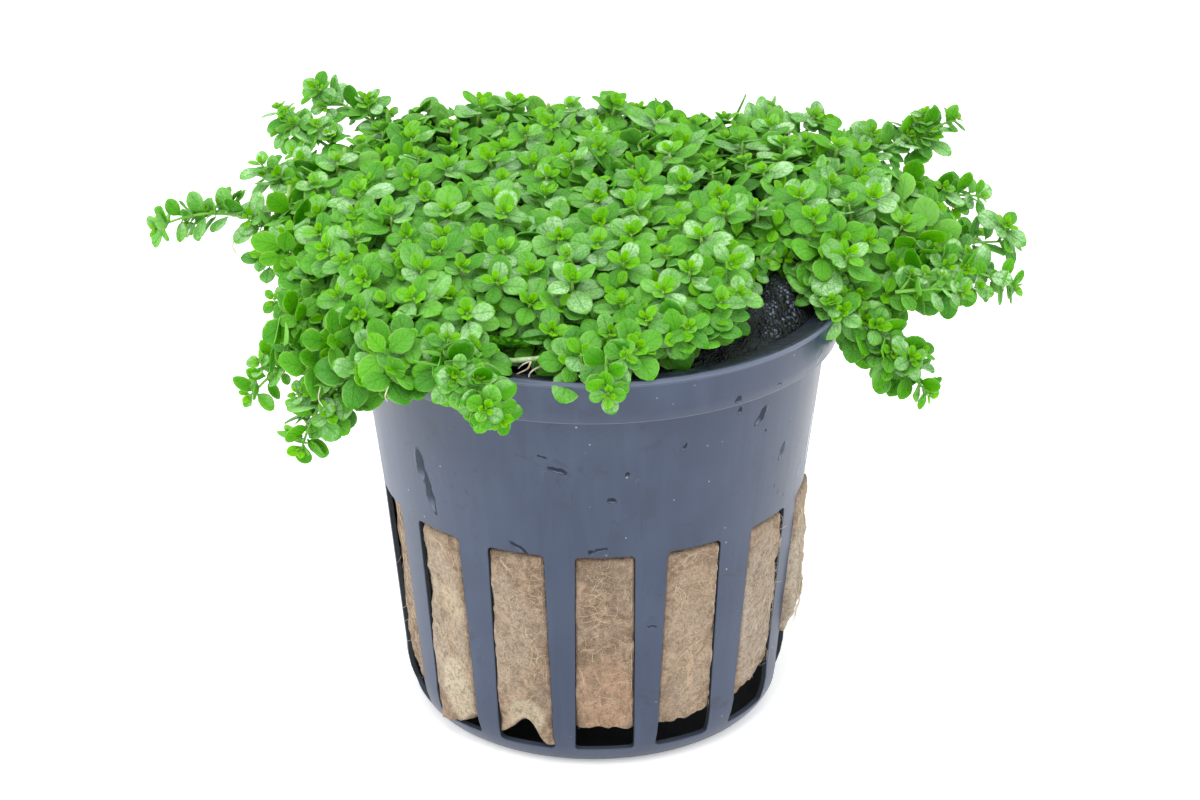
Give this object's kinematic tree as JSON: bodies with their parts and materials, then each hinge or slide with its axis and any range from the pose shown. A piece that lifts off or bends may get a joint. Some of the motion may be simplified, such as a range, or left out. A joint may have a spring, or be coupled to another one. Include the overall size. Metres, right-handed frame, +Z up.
{
  "type": "potted dwarf baby tears",
  "caption": "Slotted black net pot with a rockwool plug, topped by a dense cushion of small round green leaves whose loose sprigs trail over the rim.",
  "frame": {"origin": "the middle of the pot's flat base, on the surface that it stands on", "axes": "+Z up along the pot's axis; +X to the right in the picture's view and along the plant's widest spread; the front of the plant, where the medium shows beside the rim, faces -Y"},
  "size_m": [0.0878, 0.0747, 0.0577],
  "materials": {
    "pot_plastic": "satin moulded plastic, slightly wet",
    "rockwool": "matted mineral fibre",
    "wet_medium": null,
    "leaves": null
  },
  "bodies": {
    "root": {"net_pot": "pot_plastic", "rockwool": "rockwool", "growing_medium": "wet_medium", "leaf_mat": "leaves", "sprig_back_left": "leaves", "sprig_back_middle": "leaves", "sprig_back_right": "leaves", "sprig_front_over": "leaves", "sprig_front_small": "leaves", "sprig_left_hanging": "leaves", "sprig_left_high": "leaves", "sprig_left_long": "leaves", "sprig_left_low": "leaves", "sprig_left_small": "leaves", "sprig_left_top": "leaves", "sprig_left_upper": "leaves", "sprig_right_hanging": "leaves", "sprig_right_low": "leaves", "sprig_right_middle": "leaves", "sprig_right_small": "leaves", "sprig_right_top": "leaves", "sprig_right_upper": "leaves", "sprig_top_middle": "leaves", "sprig_top_right": "leaves"}
  },
  "joints": []
}
